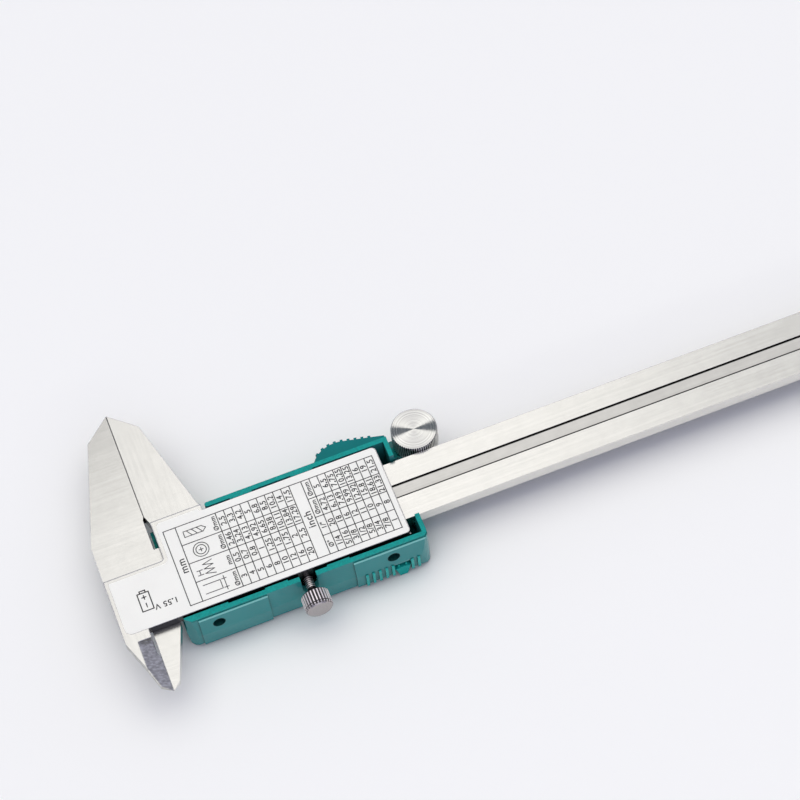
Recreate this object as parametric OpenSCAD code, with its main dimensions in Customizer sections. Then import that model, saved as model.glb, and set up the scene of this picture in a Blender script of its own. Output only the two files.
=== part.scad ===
// Digital caliper, closed, lying on its display with the back of the slider up.
// Construction frame: X runs along the beam from the closed measuring faces to the
// tail, Y points to the tips of the outside jaws, Z = 0 is the underside of the
// slider's back plate. place() moves this to the middle of the footprint.

/* [Beam] */
// Measuring range, the travel of the slider
travel = 150; // [100:10:200]
// Width of the beam
beam_w = 16; // [15:0.5:18]
// Thickness of the beam and its jaws
beam_t = 3.4; // [3:0.1:4.5]
// Length of the beam head, left of the measuring faces
head_len = 14.5; // [13.5:0.5:18]
// Length of beam past the slider plate at full travel
tail_len = 13.8; // [12:0.2:24]
// Width of the depth rod groove in the back of the beam
groove_w = 3.8; // [3:0.1:5]
// Depth of the depth rod groove
groove_d = 1.7; // [1.2:0.1:1.8]
// Width of the scale recess in the front of the beam
recess_w = 12.2; // [10:0.2:13]
// Thickness of the scale board in the recess
board_t = 0.9; // [0.6:0.1:1.0]
// Thickness of the printed film on the scale board
film_t = 0.15; // [0.1:0.05:0.3]

/* [Jaws] */
// Reach of the outside jaws past the edge of the beam
jaw_reach = 40; // [32:1:50]
// Width of each outside jaw where its tip slope starts
jaw_tip_w = 6.6; // [4:0.2:9]
// Height of the sloped tip of the outside jaws
jaw_tip_h = 5.9; // [3:0.1:9]
// Width of the moving outside jaw at its shoulder
jaw_root_w = 13.8; // [12:0.2:16]
// Height of the jaw shoulder past the edge of the beam
shoulder = 6; // [5:0.2:8]
// Depth of the relief slot beside the measuring faces
relief_w = 0.9; // [0.5:0.1:1.5]
// Height of the relief slot past the edge of the beam
relief_h = 9.6; // [8:0.2:14]
// Broken edge along the measuring faces
edge_break = 0.12; // [0.05:0.01:0.3]
// Length of jaw tip that is thinned on the front side
thin_len = 16; // [8:1:24]
// Thickness left at the thinned measuring edge
thin_edge = 1.2; // [0.8:0.1:2]
// Reach of the inside jaws past the edge of the slider plate
inside_reach = 16.4; // [12:0.2:20]
// Distance of the inside measuring edges left of the outside ones
inside_x = 7.5; // [6.5:0.1:8.5]
// Width of the inside jaw bevel, seen from the back
bevel_w = 4.1; // [3:0.1:4.5]

/* [Slider] */
// Length of the slider plate right of the measuring faces
plate_len = 58.2; // [56:0.2:70]
// Thickness of the slider plate
plate_t = 2.4; // [1.8:0.1:3.2]
// Depth of the lower rail past the edge of the beam
rail_low = 4.8; // [4.6:0.1:6]
// Depth of the upper rail past the edge of the beam
rail_up = 4.4; // [4:0.1:4.8]
// Upper edge of the plate's extension over the beam head
tongue_y = 3; // [1:0.2:5]
// Thickness of the back label
label_t = 0.12; // [0.05:0.01:0.3]
// Margin of the label inside the plate's edges
label_margin = 0.9; // [0.4:0.1:2]
// Thickness of the gib strip
gib_t = 1; // [0.6:0.1:1.4]
// Width of the depth rod
rod_w = 3.2; // [2.4:0.1:3.6]
// Distance of the depth rod's top below the beam's back
rod_drop = 0.3; // [0.2:0.05:0.5]
// Length of the depth rod's head under the slider plate
rod_head_len = 12; // [8:1:16]
// Diameter of the rivet in the depth rod's head
rivet_d = 2; // [1.2:0.1:2.4]

/* [Screws] */
// Distance of the lock screw right of the measuring faces
lock_x = 31.4; // [29:0.2:34]
// Diameter of the lock screw's stem
lock_d = 2.2; // [1.8:0.1:2.6]
// Diameter of the lock screw's knurled head
lock_head_d = 6.9; // [6:0.1:9]
// Distance of the lock screw's head from the housing wall
lock_reach = 2; // [1.6:0.1:3]
// Length of the lock screw's knurled head
lock_head_len = 4.4; // [3:0.1:6]
// Number of flutes on the lock screw's head
lock_flutes = 26; // [16:1:36]
// Distance of the first gib screw right of the measuring faces
gib_screw_x = 8.1; // [6:0.1:10]
// Distance of the second gib screw from the slider plate's end
gib_screw_end = 5.8; // [5:0.1:7]
// Length of the gib screws
gib_screw_len = 2.2; // [1.6:0.1:3.2]
// Diameter of the gib screws
gib_screw_d = 2.2; // [1.8:0.1:2.5]
// Diameter of the access holes in the housing
access_d = 3; // [2.6:0.1:3.4]
// Diameter of the housing screws
case_screw_d = 1.6; // [1.2:0.1:1.8]
// Diameter of the end stop screws
stop_screw_d = 1.6; // [1.2:0.1:2]

/* [Housing] */
// Width of the rim along the lower wall
rim_low = 1.25; // [1:0.05:1.8]
// Width of the rim along the upper wall
rim_up = 1.2; // [1:0.05:1.6]
// Gap between slider plate and housing at its other sides
rim_gap = 0.6; // [0.5:0.05:0.9]
// Gap between the plate and the lower rim
rim_gap_low = 0.8; // [0.6:0.05:0.9]
// Height of the locating pads in these gaps
rim_pad = 0.35; // [0.2:0.05:0.45]
// Height of the rim above the plate's underside
rim_z = 2; // [1.6:0.1:2.2]
// Thickness of the right end wall at the rim
end_wall = 1.15; // [1:0.05:1.6]
// Clear space between slider plate and right end wall
end_gap = 2.4; // [2:0.1:3]
// Thickness of the housing's front wall
front_t = 1.5; // [1.3:0.1:2]
// Height of the parting line above the front face
parting_h = 6.4; // [5.6:0.1:7]
// Outward draft from the rim down to the parting line
draft_up = 0.6; // [0.2:0.1:0.8]
// Inward draft from the parting line down to the front
draft_low = 0.4; // [0.2:0.1:0.8]
// Chamfer around the front face
front_chamfer = 0.8; // [0.4:0.1:1.2]
// Radius of the lower right vertical corner
corner_r = 3.2; // [2:0.1:3.6]
// Height of the grip panels on the lower wall
panel_h = 0.45; // [0.3:0.05:0.6]
// Drop of the grip panels' lip below the rim
panel_drop = 0.6; // [0.4:0.1:1.2]
// Left end of the left grip panel
panel_x = 3.4; // [2.6:0.1:5]
// Half length of the plain wall between the grip panels
panel_break = 10.6; // [9:0.1:12]

/* [Grip] */
// Number of grip ribs on each side
rib_count = 9; // [7:1:10]
// Distance between grip ribs
rib_pitch = 1.65; // [1.5:0.01:1.7]
// Width of a grip rib
rib_w = 0.7; // [0.5:0.05:0.9]
// Height of a grip rib
rib_h = 0.5; // [0.3:0.05:0.7]
// Distance of the last rib from the slider plate's end
rib_end = 0.1; // [-0.4:0.1:0.8]
// Top of the thumb rest at the rim, below the plate's underside
rest_drop = 0.9; // [0.5:0.1:3]
// Slope of the thumb rest's top away from the rim, degrees
rest_slope = 12; // [0:1:16]
// Height of the thumb rest
rest_h = 8.4; // [6:0.2:8.6]
// Height of the thumb rest's crown past the housing's rim
rest_reach = 5.5; // [4:0.1:7]
// Radius of the thumb rest's crown
rest_r = 7.5; // [6.5:0.1:9]
// Distance of the crown left of the slider plate's end
rest_x = 8.3; // [7:0.1:10]
// Slope of the thumb rest towards the roller, degrees
rest_fall = 16; // [12:1:20]

/* [Roller] */
// Diameter of the thumb roller
roller_d = 11.5; // [10:0.1:12.4]
// Height of the thumb roller
roller_h = 6; // [5:0.1:6.2]
// Height of the roller's top above the plate's underside
roller_top = 1.4; // [0.6:0.1:2]
// Distance of the roller axis from the slider plate's end
roller_x = 10.7; // [10.4:0.1:12]
// Number of flutes on the roller's rim
roller_flutes = 64; // [40:1:80]
// Diameter of the roller axle
axle_d = 3; // [2:0.1:4]
// Width of the roller arm
arm_w = 4.9; // [4.4:0.1:6]
// Thickness of the roller arm
arm_t = 3.4; // [2.4:0.1:4]

/* [Electronics] */
// Thickness of the circuit board
pcb_t = 1; // [0.8:0.1:1.2]
// Diameter of the coin cell
cell_d = 11.6; // [11:0.1:12]
// Thickness of the coin cell
cell_h = 5.4; // [5:0.1:5.6]
// Thickness of the contact leaves
leaf_t = 0.2; // [0.1:0.05:0.3]
// Thickness of the battery cover
cover_t = 0.85; // [0.7:0.05:1.1]
// Width of the battery cover's latch tab
tab_w = 3.8; // [3:0.1:3.9]
// Height of the display glass
lcd_w = 13; // [11:0.2:13.6]
// Thickness of the display glass
lcd_t = 2; // [1.6:0.1:2.4]
// Border of the bezel around the display window
bezel_border = 3.6; // [3:0.1:4.4]
// Thickness of the bezel
bezel_t = 0.5; // [0.3:0.05:0.6]
// Diameter of the push buttons
button_d = 5; // [4:0.1:5.4]
// Travel of the push buttons
button_travel = 0.6; // [0.4:0.05:0.8]

/* [Clearances] */
// Running clearance between slider and beam
slide_clear = 0.03; // [0.02:0.01:0.08]
// Gap between scale film and circuit board
sensor_gap = 0.1; // [0.06:0.01:0.2]
// Radial clearance of turning and threaded fits
turn_clear = 0.05; // [0.02:0.01:0.1]
// Clearance between seated pieces
seat_clear = 0.1; // [0.05:0.01:0.15]
// Clearance around the buttons and the battery cover
part_clear = 0.15; // [0.1:0.01:0.2]
// Play between beam stop and slider plate at full travel
stop_clear = 0.5; // [0.2:0.1:1]

/* [Hidden] */
$fn = 64;
eps = 0.01;
cut = 30;

// Levels, from the back plate down to the front face
beam_top = -slide_clear;
beam_bot = beam_top - beam_t;
rail_bot = beam_bot - sensor_gap;
mid_z = (beam_top + beam_bot) / 2;
pcb_bot = rail_bot - pcb_t;
cell_top = pcb_bot - leaf_t;
cell_bot = cell_top - cell_h;
cover_top = cell_bot - seat_clear;
cover_bot = cover_top - cover_t;
front_z = cover_bot - part_clear;
inner_z = front_z + front_t;
parting_z = front_z + parting_h;
wall_cut_z = rail_bot - seat_clear;
top_z = plate_t + label_t;

// Rows across the beam
half_w = beam_w / 2;
plate_low = -half_w - rail_low;
plate_up = half_w + rail_up;
shoulder_y = half_w + shoulder;
jaw_tip_y = half_w + jaw_reach;
inside_tip_y = plate_low - inside_reach;
gib_y = -half_w - slide_clear;
rail_in = gib_y - gib_t - slide_clear;
wall_low = plate_low - rim_gap_low;
wall_up = plate_up + rim_gap;
out_low = wall_low - rim_low;
out_up = wall_up + rim_up;
end_open = half_w + rim_gap;

// Stations along the beam
stop_x = plate_len + travel + stop_clear;
tail_x = plate_len + travel + tail_len;
end_in = plate_len + end_gap;
end_out = end_in + end_wall;
house_x = relief_w - 0.5;
strip_x = jaw_root_w + relief_w;
cell_x = plate_len - cell_d / 2 + seat_clear;
cell_y = wall_low + cell_d / 2 + 1.2;
bay_w = cell_d + 2 * seat_clear;
bay_x = cell_x - bay_w / 2;
screw_left = 16;
screw_right = bay_x - 2.3;
screw_low = (rail_in + plate_low) / 2;
screw_up = (half_w + plate_up) / 2;
boss_r = case_screw_d / 2 + 1;
rod_x = plate_len - rod_head_len - 2;
roller_r = roller_d / 2;
axis_x = plate_len + roller_x;
axis_y = half_w + roller_r + turn_clear;
zebra_t = 1.6;
zebra_y = lcd_w / 2 - 0.8 - zebra_t;
roller_bot = roller_top - roller_h;
arm_top = roller_bot - seat_clear - leaf_t;

// Middle of the footprint
centre_x = (tail_x - head_len) / 2;
centre_y = (jaw_tip_y + inside_tip_y) / 2;

module place() {
    translate([-centre_x, -centre_y, -front_z]) children();
}

// Sweeps a (y, z) profile along X
module along_x(x0, x1) {
    translate([x0, 0, 0]) rotate([90, 0, 90]) linear_extrude(x1 - x0) children();
}

// Sweeps an (x, z) profile along Y
module along_y(y0, y1) {
    translate([0, y1, 0]) rotate([90, 0, 0]) linear_extrude(y1 - y0) children();
}

// Block between two opposite corners
module block(low, high) {
    translate(low) cube(high - low);
}

// Round bar along Y
module bar_y(x, y0, y1, z, d) {
    translate([x, y0, z]) rotate([-90, 0, 0]) cylinder(d = d, h = y1 - y0);
}

// Round bar along Z
module bar_z(x, y, z0, z1, d) {
    translate([x, y, z0]) cylinder(d = d, h = z1 - z0);
}

// Circle with evenly spaced flutes in its rim
module fluted(d, flutes, depth) {
    flute_d = PI * d / flutes * 0.62;
    difference() {
        circle(d = d);
        for (i = [0 : flutes - 1])
            rotate(i * 360 / flutes)
                translate([d / 2 + flute_d / 2 - depth, 0])
                    circle(d = flute_d, $fn = 16);
    }
}

// Places of the four housing screws
module at_case_screws() {
    for (x = [screw_left, screw_right], y = [screw_low, screw_up])
        translate([x, y, 0]) children();
}

// Places of the two gib screws
module at_gib_screws() {
    for (x = [gib_screw_x, plate_len - gib_screw_end])
        translate([x, 0, 0]) children();
}

// Places of the two end stop screws
stop_screw_y = (half_w + groove_w / 2) / 2;
stop_len = 8;
stop_t = 1.2;
module at_stop_screws() {
    for (side = [-1, 1])
        translate([stop_x + stop_len / 2, side * stop_screw_y, 0]) children();
}

// Flat-headed screw pointing down from its head's top at z
module flat_screw(z, len, d) {
    head_h = d * 0.5;
    head_d = d * 2;
    difference() {
        union() {
            translate([0, 0, z - len]) cylinder(d = d, h = len);
            translate([0, 0, z - head_h]) cylinder(d1 = d, d2 = head_d, h = head_h);
        }
        for (turn = [0, 90])
            rotate(turn) block([-d * 0.7, -d * 0.12, z - head_h * 0.6], [d * 0.7, d * 0.12, z + eps]);
    }
}

// Hole for a flat-headed screw
module flat_screw_hole(z, len, d) {
    hole_d = d + 2 * turn_clear;
    translate([0, 0, z - len]) cylinder(d = hole_d, h = len);
    translate([0, 0, z - d * 0.5 - turn_clear])
        cylinder(d1 = hole_d, d2 = d * 2 + 4 * turn_clear, h = d * 0.5 + turn_clear);
    translate([0, 0, z - eps]) cylinder(d = d * 2 + 4 * turn_clear, h = cut);
}

// Wedge that thins the tip of an outside jaw on its front side
module jaw_thinning(side) {
    face_z = beam_bot;
    along_y(jaw_tip_y - thin_len, jaw_tip_y + cut)
        polygon([
            [side * -eps, beam_top - thin_edge],
            [side * jaw_tip_w * 1.2, face_z],
            [side * jaw_tip_w * 1.2, face_z - cut],
            [side * -cut, face_z - cut],
            [side * -cut, beam_top - thin_edge]
        ]);
}

// Cuts the broken edges along the measuring faces
module jaw_edge_break() {
    along_y(half_w, jaw_tip_y + 1)
        polygon([
            [-edge_break, beam_top],
            [0, beam_top - edge_break],
            [edge_break, beam_top],
            [0, beam_top + edge_break * 2]
        ]);
}

// Beam with both fixed jaws
module beam() {
    inside_slope = inside_tip_y + 1.9;
    root_x = -relief_w / 2;
    color("gainsboro") place() difference() {
        translate([0, 0, beam_bot]) linear_extrude(beam_t)
            polygon([
                [0, jaw_tip_y],
                [-jaw_tip_w, jaw_tip_y - jaw_tip_h],
                [-head_len, shoulder_y],
                [-head_len, -half_w],
                [-inside_x, -half_w],
                [-inside_x, inside_tip_y],
                [-inside_x + 2.05, inside_slope],
                [root_x, plate_low],
                [root_x, -half_w],
                [tail_x, -half_w],
                [tail_x, half_w],
                [root_x, half_w],
                [root_x, half_w + relief_h - 1],
                [0, half_w + relief_h]
            ]);
        jaw_edge_break();
        block([rod_x - 1, -groove_w / 2, beam_top - groove_d], [tail_x + 1, groove_w / 2, 1]);
        block([strip_x, -recess_w / 2, beam_bot - 1],
              [tail_x - 4, recess_w / 2, beam_bot + board_t + film_t]);
        intersection() {
            jaw_thinning(-1);
            block([-cut, jaw_tip_y - thin_len, -cut], [0, jaw_tip_y + 1, cut]);
        }
        along_y(inside_tip_y - 1, plate_low - 2.3)
            polygon([
                [-inside_x - 1, beam_top],
                [-inside_x, beam_top],
                [-inside_x + bevel_w, beam_bot],
                [-inside_x + bevel_w, beam_bot - 1],
                [-inside_x - 1, beam_bot - 1]
            ]);
        at_stop_screws() bar_z(0, 0, beam_bot - 1, 1, stop_screw_d + 2 * turn_clear);
    }
}

// Printed circuit strip in the beam's front recess
module scale_board() {
    color("darkgreen") place()
        block([strip_x + seat_clear, -recess_w / 2 + seat_clear, beam_bot + film_t],
              [tail_x - 4 - seat_clear, recess_w / 2 - seat_clear, beam_bot + film_t + board_t]);
}

// Film with the printed graduation, flush with the beam's front
module scale_film() {
    color("dimgray") place()
        block([strip_x + seat_clear, -recess_w / 2 + seat_clear, beam_bot],
              [tail_x - 4 - seat_clear, recess_w / 2 - seat_clear, beam_bot + film_t]);
}

// Plate at the tail that stops the slider and covers the depth rod
module end_stop() {
    color("silver") place() difference() {
        block([stop_x, -half_w + 0.8, beam_top], [stop_x + stop_len, half_w - 0.8, stop_t]);
        at_stop_screws() flat_screw_hole(stop_t, stop_t + 1, stop_screw_d);
    }
}

// Two screws that hold the end stop
module end_stop_screws() {
    color("silver") place()
        at_stop_screws() flat_screw(stop_t, stop_t + beam_t - board_t - film_t - slide_clear, stop_screw_d);
}

// Outline of the slider's back plate, with the moving inside jaw
module plate_outline() {
    knee_y = plate_low - inside_reach * 0.52;
    toe_y = inside_tip_y + 1.6;
    edge_x = -inside_x - 0.05;
    relief_x = -inside_x - 0.6;
    difference() {
        union() {
            polygon([
                [-head_len, tongue_y],
                [-head_len, plate_low - inside_reach * 0.11],
                [-inside_x - 4.6, knee_y],
                [-inside_x - 2.6, toe_y],
                [edge_x, inside_tip_y],
                [edge_x, plate_low - inside_reach * 0.41],
                [relief_x, plate_low - inside_reach * 0.36],
                [relief_x, plate_low],
                [plate_len, plate_low],
                [plate_len, plate_up],
                [relief_w, plate_up],
                [relief_w, tongue_y]
            ]);
            translate([relief_w, plate_up - 1]) square([jaw_root_w - relief_w, shoulder_y - plate_up + 1]);
            translate([relief_w, tongue_y]) intersection() {
                corner_cut(1, -1);
                translate([-1, 0]) square(1);
            }
        }
        for (y = [plate_low, plate_up])
            translate([plate_len, y]) corner_cut(1, y);
    }
}

// Leaves a quarter round at a right-hand corner, above or below the X axis
module corner_cut(r, side) {
    mirror([0, side > 0 ? 1 : 0]) difference() {
        translate([-r, -1]) square([r + 1, r + 1]);
        translate([-r, r]) circle(r);
    }
}

// Steel slider: back plate, rails and moving jaws
module slider_frame() {
    gap = slide_clear / 2;
    lock_bore = lock_d + 2 * turn_clear;
    color("gainsboro") place() difference() {
        union() {
            linear_extrude(plate_t) plate_outline();
            block([relief_w, half_w + slide_clear, rail_bot], [plate_len, plate_up, plate_t / 2]);
            block([relief_w, plate_low, rail_bot], [plate_len, rail_in, plate_t / 2]);
            translate([0, 0, beam_bot]) linear_extrude(beam_t + slide_clear)
                polygon([
                    [gap, jaw_tip_y],
                    [jaw_tip_w, jaw_tip_y - jaw_tip_h],
                    [jaw_root_w, shoulder_y],
                    [jaw_root_w, half_w + slide_clear],
                    [relief_w, half_w + slide_clear],
                    [relief_w, half_w + relief_h - 2.4],
                    [gap, half_w + relief_h]
                ]);
        }
        intersection() {
            jaw_thinning(1);
            block([0, jaw_tip_y - thin_len, -cut], [cut, jaw_tip_y + 1, cut]);
        }
        intersection() {
            jaw_edge_break();
            block([-1, shoulder_y + eps, -cut], [cut, cut * 4, cut]);
        }
        along_y(inside_tip_y - 1, plate_low - 2.3)
            polygon([
                [-inside_x - bevel_w, plate_t],
                [-inside_x - 0.05, 0],
                [-inside_x + 1, 0],
                [-inside_x + 1, plate_t + 1],
                [-inside_x - bevel_w, plate_t + 1]
            ]);
        at_case_screws() flat_screw_hole(plate_t, plate_t - rail_bot + 1, case_screw_d);
        at_gib_screws() bar_y(0, plate_low - 1, rail_in + 1, mid_z, gib_screw_d + 2 * turn_clear);
        bar_y(lock_x, plate_low - 1, rail_in + 1, mid_z, lock_bore);
        bar_z(rod_x + rod_head_len / 2, 0, -1, plate_t + 1, rivet_d + 2 * turn_clear);
    }
}

// Outline of the label, inset from the plate's edges
module label_outline() {
    m = label_margin;
    r = 1.6;
    bottom = plate_low + 0.1;
    difference() {
        union() {
            polygon([
                [-head_len + m, tongue_y - m],
                [-head_len + m, bottom],
                [plate_len - 0.3, bottom],
                [plate_len - 0.3, plate_up - 0.1],
                [relief_w + m, plate_up - 0.1],
                [relief_w + m, tongue_y - m]
            ]);
            translate([relief_w + m, plate_up - 1])
                square([jaw_root_w - relief_w - 2 * m, shoulder_y - plate_up + 1 - m]);
        }
        translate([-head_len + m, bottom]) mirror([1, 0]) corner_cut(r, -1);
        translate([plate_len - 0.3, bottom]) corner_cut(1, -1);
        translate([plate_len - 0.3, plate_up - 0.1]) corner_cut(1, 1);
    }
}

// Adhesive label on the back plate
module back_label() {
    color("white") place() translate([0, 0, plate_t]) linear_extrude(label_t) label_outline();
}

// Depth rod, riveted under the slider plate
module depth_rod() {
    rod_bot = beam_top - groove_d + seat_clear;
    color("lightgray") place() difference() {
        union() {
            block([rod_x, -rod_w / 2, rod_bot], [tail_x, rod_w / 2, beam_top - rod_drop]);
            block([rod_x, -rod_w / 2, rod_bot], [rod_x + rod_head_len, rod_w / 2, 0]);
        }
        along_y(-rod_w, rod_w)
            polygon([
                [tail_x - 3, rod_bot - eps],
                [tail_x + eps, rod_bot - eps],
                [tail_x + eps, rod_bot + groove_d / 2]
            ]);
        bar_z(rod_x + rod_head_len / 2, 0, rod_bot - 1, 1, rivet_d + 2 * turn_clear);
    }
}

// Rivet through the plate and the depth rod's head
module depth_rod_rivet() {
    rod_bot = beam_top - groove_d + seat_clear;
    color("silver") place()
        bar_z(rod_x + rod_head_len / 2, 0, rod_bot, plate_t, rivet_d);
}

// Gib strip between the lower rail and the beam
module gib_strip() {
    color("goldenrod") place()
        block([relief_w + 3, gib_y - gib_t, beam_bot + seat_clear],
              [plate_len - 2, gib_y, -seat_clear]);
}

// Two slotted set screws behind the gib strip
module gib_screws() {
    tip_y = gib_y - gib_t;
    color("dimgray") place() at_gib_screws() difference() {
        bar_y(0, tip_y - gib_screw_len, tip_y, mid_z, gib_screw_d);
        block([-gib_screw_d, tip_y - cut, mid_z - 0.2],
              [gib_screw_d, tip_y - gib_screw_len + 0.7, mid_z + 0.2]);
    }
}

// Outer (y, z) section of the housing's lower side
module house_section() {
    polygon([
        [0, rim_z],
        [out_low, rim_z],
        [out_low - draft_up, parting_z],
        [out_low - draft_up + draft_low, front_z + front_chamfer],
        [out_low - draft_up + draft_low + front_chamfer, front_z],
        [0, front_z]
    ]);
}

// Section of a grip panel or rib that stands out of the lower wall, with a bevelled lip
module raised_section(out, lip_z) {
    lip_y = out_low - draft_up * (rim_z - lip_z) / (rim_z - parting_z);
    polygon([
        [wall_low, lip_z],
        [lip_y - out / 3, lip_z],
        [lip_y - out, lip_z - out * 2 / 3],
        [out_low - out - draft_up, parting_z],
        [out_low - out - draft_up + draft_low, front_z + front_chamfer],
        [out_low - draft_up + draft_low + front_chamfer, front_z],
        [wall_low, front_z]
    ]);
}

// Upper half of the outer section, drafted on the upper wall
module house_section_up() {
    polygon([
        [0, rim_z],
        [out_up, rim_z],
        [out_up + draft_up, parting_z],
        [out_up + draft_up - draft_low, front_z + front_chamfer],
        [out_up + draft_up - draft_low - front_chamfer, front_z],
        [0, front_z]
    ]);
}

// Outer (x, z) section of the housing with drafted ends
module house_ends() {
    polygon([
        [house_x, rim_z],
        [house_x - draft_up / 2, parting_z],
        [house_x - draft_up / 2 + draft_low, front_z + front_chamfer],
        [house_x - draft_up / 2 + draft_low + front_chamfer, front_z],
        [end_out + draft_up / 2 - draft_low - front_chamfer, front_z],
        [end_out + draft_up / 2 - draft_low, front_z + front_chamfer],
        [end_out + draft_up / 2, parting_z],
        [end_out, rim_z]
    ]);
}

// Plan outline that rounds and chamfers the housing's vertical corners
module house_plan(out) {
    low = out_low - draft_up - out;
    right = end_out + draft_up / 2;
    left = house_x - draft_up / 2;
    up = out_up + draft_up;
    difference() {
        translate([left, low]) square([right - left, up - low]);
        translate([right, low]) corner_cut(corner_r, -1);
        translate([right, up]) corner_cut(1, 1);
        polygon([
            [left - 1, low - 1],
            [left + 2.4, low - 1],
            [left + 2.4, low],
            [left, low + 2.1],
            [left - 1, low + 2.1]
        ]);
    }
}

// Solid outer form of the housing without its cavity
module house_body() {
    intersection() {
        union() {
            along_x(house_x - 1, end_out + 1) house_section();
            along_x(house_x - 1, end_out + 1) house_section_up();
        }
        along_y(out_low - 2, out_up + 2) house_ends();
        translate([0, 0, front_z - 1]) linear_extrude(rim_z - front_z + 2) house_plan(0);
    }
    intersection() {
        union() {
            along_x(panel_x, lock_x - panel_break) raised_section(panel_h, rim_z - panel_drop);
            along_x(lock_x + panel_break + 0.6, end_out + 1) raised_section(panel_h, rim_z - panel_drop);
        }
        along_y(out_low - 2, out_up + 2) house_ends();
        translate([0, 0, front_z - 1]) linear_extrude(rim_z - front_z + 2) house_plan(panel_h);
    }
}

// Station of a grip rib
function rib_x(i) = plate_len + rib_end - (rib_count - 1 - i) * rib_pitch;
// The latch tab takes the place of two ribs
tab_x = rib_x(rib_count - 3.5);
tab_open = tab_w + 2 * part_clear;

// Grip ribs on the lower wall, beside the latch tab
module low_ribs() {
    face_y = out_low - draft_up - panel_h;
    for (i = [0 : rib_count - 1])
        if (abs(rib_x(i) - tab_x) > (tab_open + rib_w) / 2)
            along_x(rib_x(i) - rib_w / 2, rib_x(i) + rib_w / 2)
                polygon([
                    [wall_low, parting_z],
                    [face_y - rib_h / 2, parting_z],
                    [face_y - rib_h, parting_z - rib_h / 2],
                    [face_y - rib_h + draft_low, front_z + front_chamfer],
                    [face_y + draft_low + front_chamfer, front_z],
                    [wall_low, front_z]
                ]);
}

// Crown of the thumb rest: a round followed by a straight fall to the roller
rest_cx = plate_len - rest_x;
rest_cy = out_up + rest_reach - rest_r;
rest_tx = rest_cx + rest_r * sin(rest_fall);
rest_ty = rest_cy + rest_r * cos(rest_fall);
function crown_y(x) = x < rest_tx
    ? rest_cy + sqrt(rest_r * rest_r - (x - rest_cx) * (x - rest_cx))
    : rest_ty - (x - rest_tx) * tan(rest_fall);
function crown_turn(x) = x < rest_tx ? -asin((x - rest_cx) / rest_r) : -rest_fall;

// Plan of the thumb rest with its ribs
module rest_plan() {
    end_x = end_out + draft_up / 4;
    intersection() {
        union() {
            translate([rest_cx, rest_cy]) circle(rest_r);
            polygon([
                [rest_cx, wall_up],
                [rest_cx, rest_cy],
                [rest_tx, rest_ty],
                [end_x, crown_y(end_x)],
                [end_x, wall_up]
            ]);
        }
        translate([0, wall_up + 0.3]) square([end_x, cut]);
    }
    for (i = [0 : rib_count - 1])
        translate([rib_x(i), crown_y(rib_x(i))]) rotate(crown_turn(rib_x(i)))
            translate([-rib_w / 2, -rib_h]) square([rib_w, 2 * rib_h]);
}

// Thumb rest on the upper wall
module thumb_rest() {
    intersection() {
        translate([0, 0, -rest_drop - rest_h]) linear_extrude(rest_h) rest_plan();
        along_x(0, end_out + 1)
            polygon([
                [out_up, -rest_drop],
                [out_up + cut, -rest_drop - cut * tan(rest_slope)],
                [out_up + cut, -cut],
                [wall_up, -cut],
                [wall_up, -rest_drop]
            ]);
    }
}

// Arm that carries the roller
module roller_arm() {
    translate([0, 0, arm_top - arm_t]) linear_extrude(arm_t) {
        translate([end_in, axis_y - arm_w / 2]) square([axis_x - end_in, arm_w]);
        translate([axis_x, axis_y]) circle(d = arm_w);
    }
}

// Ranges of the locating pads along the walls
pad_spans = [
    [lock_x - panel_break + 0.1, lock_x - 4.8],
    [lock_x + 5.1, lock_x + panel_break + 0.2]
];

// Locating pads that centre the slider plate in the housing
module rim_pads() {
    for (span = pad_spans) {
        block([span[0], wall_low - eps, rail_bot], [span[1], wall_low + rim_pad, rim_z]);
        block([span[0], wall_up - rim_pad, rail_bot], [span[1], wall_up + eps, rim_z]);
    }
    block([house_x, wall_low - eps, rail_bot], [gib_screw_x + 3.5, wall_low + rim_pad, rim_z]);
}

// Space inside the housing
module house_cavity() {
    block([house_x + 1.5, wall_low, inner_z], [end_in, wall_up, cut]);
    block([-cut, wall_low, wall_cut_z], [end_in, wall_up, cut]);
    block([-cut, -end_open, wall_cut_z], [end_out + cut, end_open, cut]);
    translate([0, 0, wall_cut_z]) linear_extrude(cut) difference() {
        translate([-cut, half_w]) square([strip_x + rim_up / 2 + cut, cut]);
        translate([strip_x + rim_up / 2, (wall_up + out_up) / 2]) circle(d = rim_up);
    }
}

// Display opening, from the front face inwards
display_x = 7;
display_end = bay_x - 3.4;
bezel_w = lcd_w + 1.6;
display_y = (screw_low + boss_r + seat_clear + seat_clear) + bezel_w / 2;
window_len = display_end - display_x - 2 * bezel_border;
window_w = bezel_w - 2 * bezel_border + 1.2;
window_x = (display_x + display_end) / 2;
bezel_z = front_z + part_clear;

// Centred rectangle in the display's place
module display_rect(len, wid, grow) {
    translate([window_x, display_y])
        square([len + 2 * grow, wid + 2 * grow], center = true);
}

// Row of push buttons
button_pitch = (screw_right - screw_left) / 4;
button_y = (display_y + bezel_w / 2 + wall_up) / 2;
button_flange = 0.5;
module at_button(i) {
    translate([screw_left + (i + 1) * button_pitch, button_y, 0]) children();
}

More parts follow.
